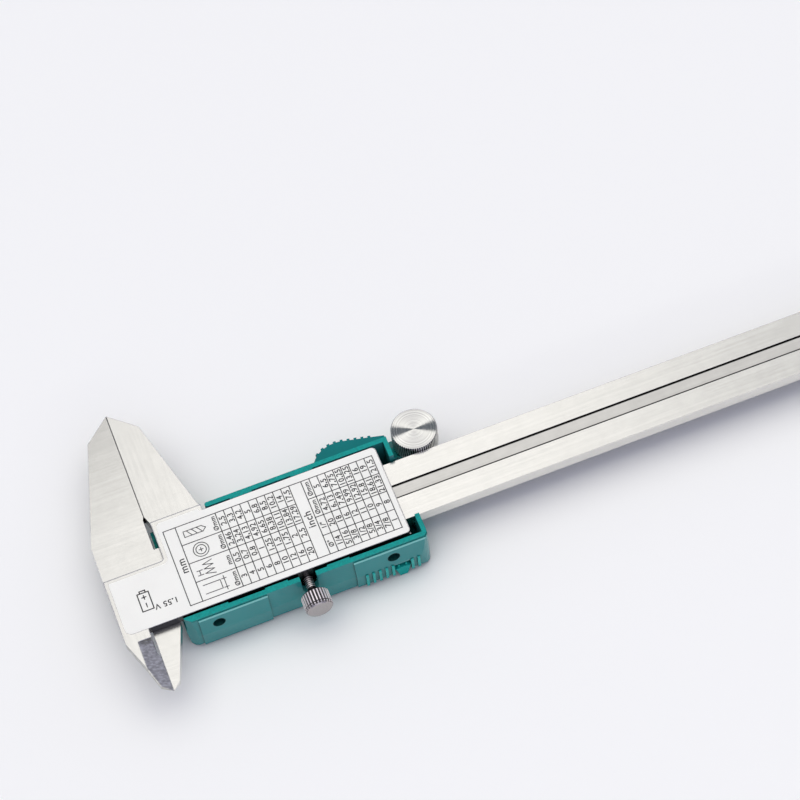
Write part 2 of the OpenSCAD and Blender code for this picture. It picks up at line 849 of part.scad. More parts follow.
// Battery bay: opening, cover recess and side grooves
cover_low = out_low - draft_up + draft_low + front_chamfer;
cover_up = cell_y + bay_w / 2 + 0.9;
tongue_w = 0.5;
tongue_t = 0.4;
module bay_cut() {
    grow = part_clear;
    block([bay_x, cell_y - bay_w / 2, front_z - 1], [bay_x + bay_w, cell_y + bay_w / 2, inner_z + 1]);
    block([bay_x - grow, out_low - cut, front_z - 1],
          [bay_x + bay_w + grow, cover_up + grow, cover_top + seat_clear / 2]);
    block([bay_x - tongue_w - grow, out_low - cut, cover_top - tongue_t - grow],
          [bay_x + bay_w + tongue_w + grow, cover_up + grow, cover_top + seat_clear / 2]);
    block([tab_x - tab_open / 2, out_low - cut, front_z - 1],
          [tab_x + tab_open / 2, wall_low + eps, parting_z - 0.8]);
}

// Plastic housing: tray around the slider, thumb rest and roller arm
module housing() {
    color([0, 0.55, 0.5]) place() difference() {
        union() {
            difference() {
                union() {
                    house_body();
                    thumb_rest();
                    low_ribs();
                }
                house_cavity();
            }
            rim_pads();
            roller_arm();
            at_case_screws() translate([0, 0, inner_z - eps])
                cylinder(r = boss_r, h = pcb_bot - inner_z + eps);
        }
        at_case_screws() translate([0, 0, inner_z - front_t / 2])
            cylinder(d = case_screw_d + 2 * turn_clear, h = cut);
        at_gib_screws() bar_y(0, out_low - cut, wall_low + 1, mid_z, access_d);
        along_y(out_low - cut, wall_low + 1) {
            translate([lock_x, mid_z]) circle(r = 2.05);
            translate([lock_x - 2.05, mid_z]) square([4.1, cut]);
        }
        translate([0, 0, front_z - 1]) linear_extrude(cut)
            display_rect(window_len, window_w, seat_clear);
        translate([0, 0, front_z - 1]) linear_extrude(1 + part_clear + bezel_t + eps)
            display_rect(display_end - display_x, bezel_w, seat_clear);
        for (i = [0 : 2])
            at_button(i) bar_z(0, 0, front_z - 1, inner_z + 1, button_d + 2 * part_clear);
        bay_cut();
        bar_z(axis_x, axis_y, -cut, 0, axle_d * 0.8 + 2 * turn_clear);
    }
}

// Four screws through plate, rails and circuit board into the housing
module housing_screws() {
    color("silver") place()
        at_case_screws() flat_screw(plate_t, plate_t - inner_z, case_screw_d);
}

// Circuit board across the rails
module circuit_board() {
    color("seagreen") place() difference() {
        block([relief_w + 2, plate_low + seat_clear, pcb_bot],
              [plate_len - 1, plate_up - seat_clear, rail_bot]);
        at_case_screws() translate([0, 0, pcb_bot - 1])
            cylinder(d = case_screw_d + 2 * turn_clear, h = pcb_t + 2);
    }
}

// Resin blob over the controller
module controller_blob() {
    blob_r = zebra_y - zebra_t / 2 - 3 * seat_clear;
    blob_h = 1.1;
    color("black") place() translate([window_x, display_y, pcb_bot - blob_h])
        rotate_extrude() polygon([
            [0, 0],
            [blob_r * 0.6, 0],
            [blob_r, blob_h * 0.7],
            [blob_r, blob_h],
            [0, blob_h]
        ]);
}

// Dome switches under the buttons
switch_h = 1.2;
module dome_switches() {
    color("silver") place() for (i = [0 : 2])
        at_button(i) {
            bar_z(0, 0, pcb_bot - switch_h / 2, pcb_bot, button_d * 0.8);
            bar_z(0, 0, pcb_bot - switch_h, pcb_bot, button_d * 0.4);
        }
}

// Display glass on the inside of the front wall
lcd_len = display_end - display_x - 1.6;
module lcd_panel() {
    color("darkseagreen") place() translate([0, 0, inner_z]) linear_extrude(lcd_t)
        display_rect(lcd_len, lcd_w, -0.8);
}

// Rubber contact strips between display and circuit board
module zebra_strips() {
    color("pink") place() for (side = [-1, 1])
        translate([window_x, display_y + side * zebra_y, (inner_z + lcd_t + pcb_bot) / 2])
            cube([lcd_len - 4, zebra_t, pcb_bot - inner_z - lcd_t], center = true);
}

// Clear window in the bezel
module lcd_window() {
    color("lightblue", 0.5) place() translate([0, 0, bezel_z]) linear_extrude(inner_z - bezel_z)
        display_rect(window_len, window_w, 0);
}

// Dark frame around the display window
module front_bezel() {
    color([0.1, 0.1, 0.11]) place() translate([0, 0, bezel_z]) linear_extrude(bezel_t) difference() {
        display_rect(display_end - display_x, bezel_w, 0);
        display_rect(window_len, window_w, seat_clear);
    }
}

// Coin cell
module battery() {
    color("lightgray") place() translate([cell_x, cell_y, cell_bot]) {
        cylinder(d = cell_d, h = cell_h - 0.6);
        cylinder(d = cell_d * 0.82, h = cell_h);
    }
}

// Leaf contact between cell and circuit board
module battery_base_contact() {
    color("gold") place()
        block([cell_x - cell_d * 0.3, cell_y - 2, cell_top], [cell_x + cell_d * 0.3, cell_y + 2, pcb_bot]);
}

// Leaf contact beside the cell
module battery_side_contact() {
    side_x = bay_x - leaf_t;
    color("gold") place() {
        block([side_x, cell_y - 2, cell_bot + 1], [side_x + leaf_t, cell_y + 2, pcb_bot]);
        block([side_x - 1.5, cell_y - 2, pcb_bot - leaf_t], [side_x + leaf_t, cell_y + 2, pcb_bot]);
    }
}

// Shouldered axle screwed into the roller arm
module roller_axle() {
    color("silver") place() {
        bar_z(axis_x, axis_y, arm_top - arm_t, roller_top - 1.5, axle_d * 0.8);
        bar_z(axis_x, axis_y, arm_top, roller_top - 1.5, axle_d);
        bar_z(axis_x, axis_y, arm_top, arm_top + leaf_t, arm_w * 0.9);
        bar_z(axis_x, axis_y, arm_top - arm_t - 1, arm_top - arm_t, arm_w * 0.8);
    }
}

// Thumb roller with fluted rim and a blind bore from below
module roller() {
    rim_chamfer = 0.5;
    color("silver") place() translate([axis_x, axis_y, roller_bot]) difference() {
        intersection() {
            linear_extrude(roller_h) fluted(roller_d, roller_flutes, 0.22);
            rotate_extrude() polygon([
                [0, 0],
                [roller_r - rim_chamfer, 0],
                [roller_r, rim_chamfer],
                [roller_r, roller_h - rim_chamfer / 4],
                [roller_r - rim_chamfer / 4, roller_h],
                [0, roller_h]
            ]);
        }
        translate([0, 0, -1]) cylinder(d = axle_d + 2 * turn_clear, h = roller_h);
    }
}

// Brass pad that the lock screw presses on the gib strip
lock_play = 0.25;
lock_pad_len = 1.2;
lock_pad_y = gib_y - gib_t - lock_play - slide_clear;
module lock_pad() {
    color("goldenrod") place()
        bar_y(lock_x, lock_pad_y - lock_pad_len, lock_pad_y, mid_z, lock_d);
}

// Lock screw: stem, collar, neck and fluted head
module lock_screw() {
    head_y = out_low - draft_up - lock_reach;
    collar_y = head_y + 0.3;
    collar_d = lock_d * 1.9;
    color("silver") place() {
        bar_y(lock_x, head_y - 1, lock_pad_y - lock_pad_len, mid_z, lock_d);
        translate([lock_x, collar_y, mid_z]) rotate([-90, 0, 0])
            cylinder(d1 = collar_d, d2 = lock_d, h = lock_reach - 0.6);
        translate([lock_x, head_y, mid_z]) rotate([90, 0, 0]) difference() {
            intersection() {
                linear_extrude(lock_head_len) fluted(lock_head_d, lock_flutes, 0.3);
                rotate_extrude() polygon([
                    [0, 0],
                    [lock_head_d / 2 - 0.4, 0],
                    [lock_head_d / 2, 0.4],
                    [lock_head_d / 2, lock_head_len - 0.5],
                    [lock_head_d / 2 - 0.5, lock_head_len],
                    [0, lock_head_len]
                ]);
            }
            translate([0, 0, lock_head_len - 1]) difference() {
                cylinder(d = lock_head_d + 1, h = 0.25);
                cylinder(d = lock_head_d - 0.5, h = 0.25);
            }
        }
    }
}

// Sliding battery cover with side tongues and latch tab
module battery_cover() {
    tab_low = out_low - panel_h - draft_up - 0.2;
    tab_top = front_z + parting_h * 0.62;
    color([0, 0.58, 0.52]) place() {
        block([bay_x, cover_low, cover_bot], [bay_x + bay_w, cover_up, cover_top]);
        block([bay_x - tongue_w, cover_low, cover_top - tongue_t],
              [bay_x + bay_w + tongue_w, cover_up, cover_top]);
        along_y(tab_low, cover_low + eps)
            polygon([
                [tab_x - tab_w / 2, tab_top],
                [tab_x - tab_w / 4, cover_bot],
                [tab_x + tab_w / 4, cover_bot],
                [tab_x + tab_w / 2, tab_top]
            ]);
        for (side = [-1, 1])
            block([tab_x + side * tab_w / 4 - 0.25, tab_low + 0.3, tab_top - 0.5],
                  [tab_x + side * tab_w / 4 + 0.25, out_low - draft_up, tab_top + 1.1]);
    }
}

// One push button: cap, inner flange and plunger
module push_button(i) {
    flange_z = inner_z + seat_clear / 2;
    plunger_z = pcb_bot - switch_h - button_travel - seat_clear;
    at_button(i) {
        bar_z(0, 0, front_z + part_clear, flange_z + eps, button_d);
        bar_z(0, 0, flange_z, flange_z + button_flange, button_d + 1.2);
        bar_z(0, 0, flange_z, plunger_z, button_d * 0.4);
    }
}

module unit_button() {
    color("whitesmoke") place() push_button(0);
}

module power_button() {
    color("orangered") place() push_button(1);
}

module zero_button() {
    color("whitesmoke") place() push_button(2);
}

beam();
scale_board();
scale_film();
end_stop();
end_stop_screws();
slider_frame();
back_label();
depth_rod();
depth_rod_rivet();
gib_strip();
gib_screws();
housing();
housing_screws();
circuit_board();
controller_blob();
dome_switches();
lcd_panel();
zebra_strips();
lcd_window();
front_bezel();
battery();
battery_base_contact();
battery_side_contact();
roller_axle();
roller();
lock_pad();
lock_screw();
battery_cover();
unit_button();
power_button();
zero_button();
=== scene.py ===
"""Looks of a closed digital caliper that lies on its display, seen from the back."""

import math

import bmesh
import bpy
from mathutils import Matrix, Vector


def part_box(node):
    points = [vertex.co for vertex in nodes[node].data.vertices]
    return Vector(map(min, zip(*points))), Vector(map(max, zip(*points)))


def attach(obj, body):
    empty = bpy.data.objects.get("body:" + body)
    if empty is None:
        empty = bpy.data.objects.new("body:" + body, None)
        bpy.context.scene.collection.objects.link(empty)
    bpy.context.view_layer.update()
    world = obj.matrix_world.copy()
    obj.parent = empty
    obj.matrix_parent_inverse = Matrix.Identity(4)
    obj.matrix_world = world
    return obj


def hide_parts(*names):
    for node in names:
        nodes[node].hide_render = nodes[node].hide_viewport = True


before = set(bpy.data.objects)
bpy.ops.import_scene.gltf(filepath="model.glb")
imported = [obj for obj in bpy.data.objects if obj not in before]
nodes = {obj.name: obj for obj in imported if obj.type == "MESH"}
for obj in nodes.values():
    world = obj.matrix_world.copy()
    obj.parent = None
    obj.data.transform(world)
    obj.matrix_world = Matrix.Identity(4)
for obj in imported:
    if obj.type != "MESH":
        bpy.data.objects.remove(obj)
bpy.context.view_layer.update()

MM = 0.001
# Row origin in the caliper's own millimetre frame: closed jaws at x = 0, beam axis at y = 0,
# underside of the slider plate at z = 0
ORIGIN = Vector((103.75, 9.4, -11.23))


def at(x, y, z):
    return (Vector((x, y, z)) - ORIGIN) * MM


# Materials

# Turned grooves of the roller's end face, and the scale of their uneven slope
GROOVES_PER_METRE = 6500.0
GROOVE_WANDER = 5200.0


class Shader:
    """One procedural material and short ways to add nodes to it."""

    def __init__(self, name, **values):
        self.mat = bpy.data.materials.new(name)
        self.mat.use_nodes = True
        self.tree = self.mat.node_tree
        self.bsdf = self.tree.nodes["Principled BSDF"]
        self.normal = None
        for key, value in values.items():
            self.bsdf.inputs[key.replace("_", " ")].default_value = value
        self.coords = self.add("ShaderNodeTexCoord")
        self.place = self.coords.outputs["Object"]

    def add(self, kind, **values):
        node = self.tree.nodes.new(kind)
        for key, value in values.items():
            key = key.replace("_", " ")
            if key in node.inputs:
                node.inputs[key].default_value = value
            else:
                setattr(node, key.replace(" ", "_"), value)
        return node

    def link(self, a, b):
        self.tree.links.new(a, b)

    def noise(self, scale, detail=3.0, roughness=0.55):
        """Noise with its own scale, per metre, along each axis."""
        mapping = self.add("ShaderNodeMapping")
        mapping.inputs["Scale"].default_value = scale
        self.link(self.place, mapping.inputs["Vector"])
        noise = self.add("ShaderNodeTexNoise", Scale=1.0, Detail=detail, Roughness=roughness)
        self.link(mapping.outputs["Vector"], noise.inputs["Vector"])
        return noise.outputs["Fac"]

    def ramp(self, value, stops):
        ramp = self.add("ShaderNodeValToRGB")
        elements = ramp.color_ramp.elements
        while len(elements) < len(stops):
            elements.new(0.5)
        for element, (pos, colour) in zip(elements, stops):
            element.position = pos
            element.color = (*colour, 1.0)
        self.link(value, ramp.inputs["Fac"])
        return ramp.outputs["Color"]

    def spread(self, value, low, high):
        """Maps 0.3 to 0.7, where noise mostly lies, onto low to high."""
        node = self.add("ShaderNodeMapRange")
        limits = {"From Min": 0.3, "From Max": 0.7, "To Min": low, "To Max": high}
        for key, limit in limits.items():
            node.inputs[key].default_value = limit
        self.link(value, node.inputs["Value"])
        return node.outputs["Result"]

    def math(self, operation, a, b=None):
        node = self.add("ShaderNodeMath", operation=operation)
        for socket, value in zip(node.inputs, (a, b)):
            if isinstance(value, (int, float)):
                socket.default_value = value
            elif value is not None:
                self.link(value, socket)
        return node.outputs[0]

    def step(self, value, start, end):
        """Runs from 0 at start to 1 at end."""
        node = self.add("ShaderNodeMapRange")
        node.inputs["From Min"].default_value = start
        node.inputs["From Max"].default_value = end
        self.link(value, node.inputs["Value"])
        return node.outputs["Result"]

    def axis(self, name, of=None):
        """One coordinate of the place, in row metres, or of another vector."""
        split = self.add("ShaderNodeSeparateXYZ")
        self.link(of or self.place, split.inputs[0])
        return split.outputs[name]

    def distance(self, name, value):
        """Distance from a plane across an axis, in metres."""
        return self.math("ABSOLUTE", self.math("SUBTRACT", self.axis(name), value))

    def facing(self, name):
        """How far the surface faces along an axis, 0 to 1."""
        return self.math("ABSOLUTE", self.axis(name, self.coords.outputs["Normal"]))

    def vector(self, operation, a, b=None):
        node = self.add("ShaderNodeVectorMath", operation=operation)
        self.link(a, node.inputs[0])
        if isinstance(b, (list, tuple, Vector)):
            node.inputs[1].default_value = b
        elif b is not None:
            self.link(b, node.inputs[1])
        return node

    def from_axis(self, centre, name):
        """Vector to the place from an axis through a point, at a right angle to that axis."""
        offset = self.vector("SUBTRACT", self.place, centre)
        across = [float(letter != name) for letter in "XYZ"]
        return self.vector("MULTIPLY", offset.outputs[0], across).outputs[0]

    def radius(self, centre, name):
        """Distance from an axis through a point."""
        return self.vector("LENGTH", self.from_axis(centre, name)).outputs["Value"]

    def mix(self, factor, a, b):
        """Colour a where the factor is 0, colour b where it is 1."""
        node = self.add("ShaderNodeMix", data_type="RGBA")
        self.link(factor, node.inputs["Factor"])
        for socket, value in ((node.inputs[6], a), (node.inputs[7], b)):
            if isinstance(value, tuple):
                socket.default_value = (*value, 1.0)
            else:
                self.link(value, socket)
        return node.outputs[2]

    def darken(self, colour, factor, amount):
        """Multiplies a colour by an amount where the factor is 1: above 1 it brightens."""
        node = self.add("ShaderNodeMix", data_type="RGBA", blend_type="MULTIPLY")
        self.link(factor, node.inputs["Factor"])
        self.link(colour, node.inputs[6])
        node.inputs[7].default_value = (amount, amount, amount, 1.0)
        return node.outputs[2]

    def colour(self, output):
        self.link(output, self.bsdf.inputs["Base Color"])

    def rough(self, output):
        self.link(output, self.bsdf.inputs["Roughness"])

    def soften(self, radius):
        """Rounds sharp edges in the shading, in millimetres."""
        bevel = self.add("ShaderNodeBevel", samples=6)
        bevel.inputs["Radius"].default_value = radius * MM
        self.normal = bevel.outputs["Normal"]
        self.link(self.normal, self.bsdf.inputs["Normal"])

    def corner_shade(self, reach):
        """1 in narrow corners, where shade is painted in, with a reach in millimetres."""
        node = self.add("ShaderNodeAmbientOcclusion", samples=8, Distance=reach * MM)
        return self.step(node.outputs["AO"], 0.80, 0.45)

    def flanks(self, centre, name, radius, slope):
        """Leans the normal of an end face in and out by turns, as turned grooves do."""
        out = self.vector("NORMALIZE", self.from_axis(centre, name))
        turned = self.add("ShaderNodeVectorTransform", vector_type="VECTOR",
                          convert_from="OBJECT", convert_to="WORLD")
        self.link(out.outputs[0], turned.inputs[0])
        turns = self.math("FRACT", self.math("MULTIPLY", radius, GROOVES_PER_METRE))
        side = self.math("GREATER_THAN", turns, 0.5)
        side = self.math("SUBTRACT", self.math("MULTIPLY", side, 2.0), 1.0)
        wander = self.add("ShaderNodeTexNoise", noise_dimensions="1D", Scale=GROOVE_WANDER, Detail=3.0)
        self.link(radius, wander.inputs["W"])
        lean = self.math("MULTIPLY", side, self.spread(wander.outputs["Fac"], *slope))
        lean = self.math("MULTIPLY", lean, self.step(self.facing(name), 0.8, 0.95))
        scaled = self.vector("SCALE", turned.outputs[0])
        self.link(lean, scaled.inputs["Scale"])
        total = self.vector("ADD", self.normal, scaled.outputs[0])
        self.normal = self.vector("NORMALIZE", total.outputs[0]).outputs[0]
        self.link(self.normal, self.bsdf.inputs["Normal"])

    def bump(self, height, depth, strength=1.0):
        """Bump of a depth in millimetres, on top of what is there already."""
        bump = self.add("ShaderNodeBump", Strength=strength, Distance=depth * MM)
        self.link(height, bump.inputs["Height"])
        if self.normal:
            self.link(self.normal, bump.inputs["Normal"])
        self.normal = bump.outputs["Normal"]
        self.link(self.normal, self.bsdf.inputs["Normal"])


def shade(low, high):
    """Stops of a ramp across the range where noise mostly lies."""
    return [(0.3, low), (0.7, high)]


def drifting(tone, low, high):
    """Stops of a ramp from a darker to a lighter shade of a tone."""
    return shade([c * low for c in tone], [min(1, c * high) for c in tone])


# Edge radii of ground steel in the shading, and of the top of the slider plate
STEEL_EDGE = 0.1
PLATE_EDGE = 0.4
# Shares of ground lines and of broad clouds in the tone of ground steel
LINE_SHARE, CLOUD_SHARE = 0.55, 0.45
# Tones across the streaks of a scored face, from low to high noise
SCORED = [(0.36, (0.37, 0.364, 0.34)), (0.64, (0.62, 0.61, 0.575))]
# What is left of the tone under painted shade: in the beam's groove, on the plate's lower edge and
# below it, and along a bar's edges
BEAM_GROOVE_SHADE, LOWER_EDGE_SHADE, UNDER_PLATE_SHADE, GAP_SHADE_TONE = 0.12, 0.14, 0.25, 0.12
# Where the painted shade towards the jaws' tips starts, and where it is darkest
TIP_SHADE_SPAN = (15.0, 46.0)


def ground_steel(name, tone, roughness, scale, side=0.9, groove=None, plate=None, bevel=None,
                 gap_shade=None, drift=(0.90, 1.06), tip_shade=1.0):
    """Satin steel with fine ground lines: the noise is long along the grain.

    Faces that stand upright have their tone times side: painted light where side is above 1,
    painted shade where it is below. A groove (half width, level) and the lower edge of a plate (y,
    level), where little light gets in, get painted shade. Faces that lean, below the y of a bevel,
    are scored. A bar gets painted shade along its edges, at the given half width. A jaw gets painted
    shade towards its end, by a factor. Narrow corners get painted shade."""
    s = Shader(name, Metallic=1.0)
    if plate:
        low, high = (s.add("ShaderNodeBevel", samples=8) for _ in range(2))
        low.inputs["Radius"].default_value = STEEL_EDGE * MM
        high.inputs["Radius"].default_value = PLATE_EDGE * MM
        blend = s.add("ShaderNodeMix", data_type="VECTOR")
        s.link(s.step(s.axis("Z"), at(0, 0, 0.2).z, at(0, 0, 0.5).z), blend.inputs["Factor"])
        s.link(low.outputs["Normal"], blend.inputs[4])
        s.link(high.outputs["Normal"], blend.inputs[5])
        s.link(blend.outputs[1], s.bsdf.inputs["Normal"])
    else:
        s.soften(STEEL_EDGE)
    lines = s.noise(scale, detail=4.0, roughness=0.7)
    cloud = s.noise((240, 240, 240), detail=4.0, roughness=0.75)
    both = s.math("ADD", s.math("MULTIPLY", lines, LINE_SHARE), s.math("MULTIPLY", cloud, CLOUD_SHARE))
    colour = s.ramp(both, drifting(tone, *drift))
    upright = s.step(s.facing("Z"), 0.6, 0.3)
    # Upright faces times side: painted light where side is above 1, painted shade where it is below
    colour = s.darken(colour, upright, side)
    if groove:
        width, level = groove[0], at(0, 0, groove[1]).z
        inside = s.step(s.distance("Y", at(0, 0, 0).y), width * MM, (width - 0.03) * MM)
        inside = s.math("MULTIPLY", inside, s.step(s.axis("Z"), level, level - 0.02 * MM))
        # Painted shade in the beam's groove
        colour = s.darken(colour, inside, BEAM_GROOVE_SHADE)
    if plate:
        y, z = at(0, *plate)[1:]
        beyond = s.step(s.axis("Y"), y, y - 0.2 * MM)
        # Painted shade on the plate's lower edge and below it
        colour = s.darken(colour, s.math("MULTIPLY", upright, beyond), LOWER_EDGE_SHADE)
        below = s.math("MULTIPLY", beyond, s.step(s.axis("Z"), z, z - 0.3 * MM))
        colour = s.darken(colour, below, UNDER_PLATE_SHADE)
    if bevel:
        y = at(0, bevel, 0).y
        lean = s.math("MULTIPLY", s.step(s.axis("Y"), y, y - 0.2 * MM),
                      s.step(s.facing("Z"), 0.98, 0.93))
        colour = s.mix(lean, colour, s.ramp(s.noise((150, 1500, 1500), detail=2.0), SCORED))
    if gap_shade:
        # Painted shade along a bar's edges, in place of the shadow in the gap beside it
        rim = s.step(s.distance("Y", at(0, 0, 0).y), (gap_shade - 0.22) * MM, (gap_shade - 0.12) * MM)
        colour = s.darken(colour, rim, GAP_SHADE_TONE)
    # Painted shade towards the jaws' tips
    colour = s.darken(colour, s.step(s.axis("Y"), *(at(0, y, 0).y for y in TIP_SHADE_SPAN)), tip_shade)
    # Painted shade in narrow corners
    colour = s.darken(colour, s.corner_shade(0.35), 0.3)
    s.colour(colour)
    s.rough(s.spread(both, roughness - 0.008, roughness + 0.01))
    return s.mat


# Painted light on a knurled side: its tone against the end face; and what is left of it under painted
# shade in its grooves and in thread roots
KNURL_SIDE_LIGHT, KNURL_GROOVE_SHADE, THREAD_ROOT_SHADE = 2.2, 0.06, 0.12
# How much rougher a knurled side is than the end face
KNURL_ROUGH = 0.25


def turned_steel(name, tone, roughness, axis, direction, rim, slope=None, thread=None):
    """Lathe-turned steel: rings about an axis through a point, with painted light on a knurled side
    and painted shade in the knurl's grooves and in thread roots.

    rim gives the radius at the bottom and at the top of the knurl, in millimetres. The flanks of
    the fine grooves on an end face lean by a slope, from its first to its second value. thread
    gives the radius and the pitch of a threaded stem."""
    s = Shader(name, Metallic=1.0)
    s.soften(0.18)
    radius = s.radius(axis, direction)
    rings = s.add("ShaderNodeTexNoise", noise_dimensions="1D", Scale=3200.0, Detail=3.0,
                  Roughness=0.6)
    s.link(radius, rings.inputs["W"])
    ring = rings.outputs["Fac"]
    colour = s.ramp(ring, drifting(tone, 0.84, 1.08))
    wear = s.noise((1500, 1500, 1500), detail=3.0)
    side = s.step(s.facing(direction), 0.6, 0.3)
    groove = s.step(radius, (rim[1] - 0.02) * MM, rim[0] * MM)
    head = s.step(radius, (rim[0] - 0.35) * MM, (rim[0] - 0.25) * MM)
    groove = s.math("MULTIPLY", s.math("MULTIPLY", groove, side), head)
    # Painted light on the knurled side, painted shade in its grooves
    colour = s.darken(colour, side, KNURL_SIDE_LIGHT)
    colour = s.darken(colour, groove, KNURL_GROOVE_SHADE)
    if thread:
        stem_radius, pitch = thread
        turns = s.math("FRACT", s.math("MULTIPLY", s.axis(direction), 1 / (pitch * MM)))
        stem = s.step(radius, (stem_radius + 0.1) * MM, stem_radius * MM)
        root = s.step(s.math("ABSOLUTE", s.math("SUBTRACT", turns, 0.5)), 0.35, 0.15)
        root = s.math("MULTIPLY", s.math("MULTIPLY", stem, side), root)
        # Painted shade in the thread's roots
        colour = s.darken(colour, root, THREAD_ROOT_SHADE)
    s.colour(colour)
    both = s.math("ADD", s.math("MULTIPLY", ring, 0.7), s.math("MULTIPLY", wear, 0.3))
    face = s.spread(both, roughness - 0.02, roughness + 0.05)
    s.rough(s.math("ADD", face, s.math("MULTIPLY", side, KNURL_ROUGH)))
    if slope:
        s.flanks(axis, direction, radius, slope)
    else:
        s.bump(ring, 0.004, 0.5)
    return s.mat


def plastic(name, tone, roughness, grain=0.02, **values):
    """Moulded plastic: slight colour drift, fine grain of a depth in millimetres and soft edges."""
    s = Shader(name, **values)
    s.soften(0.15)
    cloud = s.noise((110, 110, 110), detail=3.0)
    fine = s.noise((5200, 5200, 5200), detail=2.0)
    s.colour(s.ramp(cloud, drifting(tone, 0.93, 1.07)))
    s.rough(s.spread(fine, roughness - 0.06, roughness + 0.08))
    s.bump(fine, grain, 0.6)
    return s.mat


# Access holes in the lower wall: their axes, radius and the wall's inner face
HOLES = ((8.1, 0.0, -1.73), (52.4, 0.0, -1.73))
HOLE_RADIUS = 1.6
WALL_INSIDE = -13.0
# What is left of the tone in the holes' bores, where shade is painted
HOLE_SHADE_TONE = 0.2
# Inner edge of the thumb rest, the case's parting level, and the lean of its walls
REST_EDGE = 14.2
PARTING = -4.83
WALL_DRAFT = 0.0714
# Face of the wall at the parting level, and how far out the ribs start
RIB_FACE = (-16.0, -16.15)
# Ribs are brightened by this factor, as painted light
RIB_LIGHT_TONE = 1.3
# Level of the grip panels' lip, and middle and half length of the plain wall between the panels
LIP = 1.4
# Painted highlight on the lips' chamfers
LIP_HIGHLIGHT_TEAL = (0.18, 0.50, 0.46)
# Painted shade on the upright strip above the lips stays off this plain wall
PLAIN_WALL = (31.7, 10.9)
# Roughness of the smooth faces, and what the grain adds to it
SMOOTH_ROUGH = 0.11
GRAIN_ROUGH = (0.48, 0.63)


def case_plastic(name, tone, wall_reflection_tone, rest_and_shade_tone):
    """The case: smooth walls, paler and greyer with a painted reflection of the floor, ribs brightened
    with painted light, a painted highlight on the lips' chamfers, painted shade on the strip above
    the lips, in the holes and in corners, spark-eroded grain on its upper faces and a smooth thumb
    rest of deeper colour."""
    s = Shader(name, Specular_IOR_Level=0.26)
    s.soften(0.05)
    y, z = at(0, REST_EDGE, 0.5)[1:]
    rest = s.math("MULTIPLY", s.step(s.axis("Y"), y, y + 0.15 * MM),
                  s.step(s.axis("Z"), z + 0.3 * MM, z))
    grained = s.math("MULTIPLY", s.math("SUBTRACT", 1.0, rest), s.step(s.facing("Z"), 0.80, 0.95))
    out = s.math("ADD", s.axis("Y"), s.math("MULTIPLY", s.axis("Z"), WALL_DRAFT))
    faces = [at(0, y, PARTING) for y in RIB_FACE]
    ribs = s.step(out, *(face.y + WALL_DRAFT * face.z for face in faces))
    cloud = s.noise((110, 110, 110), detail=3.0)
    fine = s.noise((2600, 2600, 2600), detail=2.0, roughness=0.6)
    # Wall tone, paler and greyer: a painted reflection of the floor
    colour = s.ramp(cloud, drifting(wall_reflection_tone, 0.95, 1.05))
    # Painted highlight on faces that lean up, above the lips' level: the lips' chamfers
    lip_highlight = s.math("MULTIPLY", s.step(s.facing("Z"), 0.45, 0.60),
                  s.step(s.axis("Z"), at(0, 0, LIP - 0.6).z, at(0, 0, LIP - 0.5).z))
    colour = s.mix(lip_highlight, colour, LIP_HIGHLIGHT_TEAL)
    # Painted shade, in the thumb rest's deeper tone, on the upright strip above the panels' lips
    middle, half = PLAIN_WALL
    along = s.step(s.distance("X", at(middle, 0, 0).x), half * MM, (half + 0.1) * MM)
    front = s.math("MULTIPLY", s.step(s.facing("Y"), 0.8, 0.9),
                   s.step(s.axis("Y"), at(0, 0, 0).y, at(0, -1, 0).y))
    above = s.math("MULTIPLY", s.step(s.axis("Z"), at(0, 0, LIP - 0.05).z, at(0, 0, LIP).z), front)
    colour = s.mix(s.math("MULTIPLY", along, above), colour, rest_and_shade_tone)
    # Painted light: ribs brighter than the rest of the case
    colour = s.mix(ribs, colour, tuple(c * RIB_LIGHT_TONE for c in tone))
    colour = s.mix(grained, colour, s.ramp(fine, drifting(tone, 0.78, 1.22)))
    colour = s.mix(rest, colour, s.ramp(cloud, drifting(rest_and_shade_tone, 0.95, 1.05)))
    wall = s.step(s.axis("Y"), at(0, WALL_INSIDE, 0).y, at(0, WALL_INSIDE - 0.1, 0).y)
    # Painted shade in the bores of the access holes
    for hole in HOLES:
        bore = s.step(s.radius(at(*hole), "Y"), (HOLE_RADIUS + 0.02) * MM, (HOLE_RADIUS - 0.05) * MM)
        colour = s.darken(colour, s.math("MULTIPLY", bore, wall), HOLE_SHADE_TONE)
    # Painted shade in narrow corners
    s.colour(s.darken(colour, s.corner_shade(0.8), 0.4))
    s.rough(s.math("ADD", s.math("MULTIPLY", s.spread(fine, *GRAIN_ROUGH), grained), SMOOTH_ROUGH))
    s.bump(s.math("MULTIPLY", fine, grained), 0.10, 0.8)
    return s.mat


def plain_metal(name, tone, roughness):
    """Small metal parts: uneven tone and fine dents."""
    s = Shader(name, Metallic=1.0)
    s.soften(0.08)
    drift = s.noise((900, 900, 900), detail=4.0)
    s.colour(s.ramp(drift, drifting(tone, 0.88, 1.06)))
    s.rough(s.spread(drift, roughness - 0.05, roughness + 0.08))
    s.bump(drift, 0.004, 0.5)
    return s.mat


def printed(name, tone, roughness, **values):
    """Printed film or ink: nearly even, with the slight unevenness of a screen print."""
    s = Shader(name, **values)
    dots = s.noise((6000, 6000, 6000), detail=2.0)
    cloud = s.noise((90, 90, 90), detail=2.0)
    both = s.math("ADD", s.math("MULTIPLY", dots, 0.4), s.math("MULTIPLY", cloud, 0.6))
    s.colour(s.ramp(both, drifting(tone, 0.96, 1.03)))
    s.rough(s.spread(dots, roughness - 0.04, roughness + 0.05))
    s.bump(dots, 0.004, 0.3)
    return s.mat


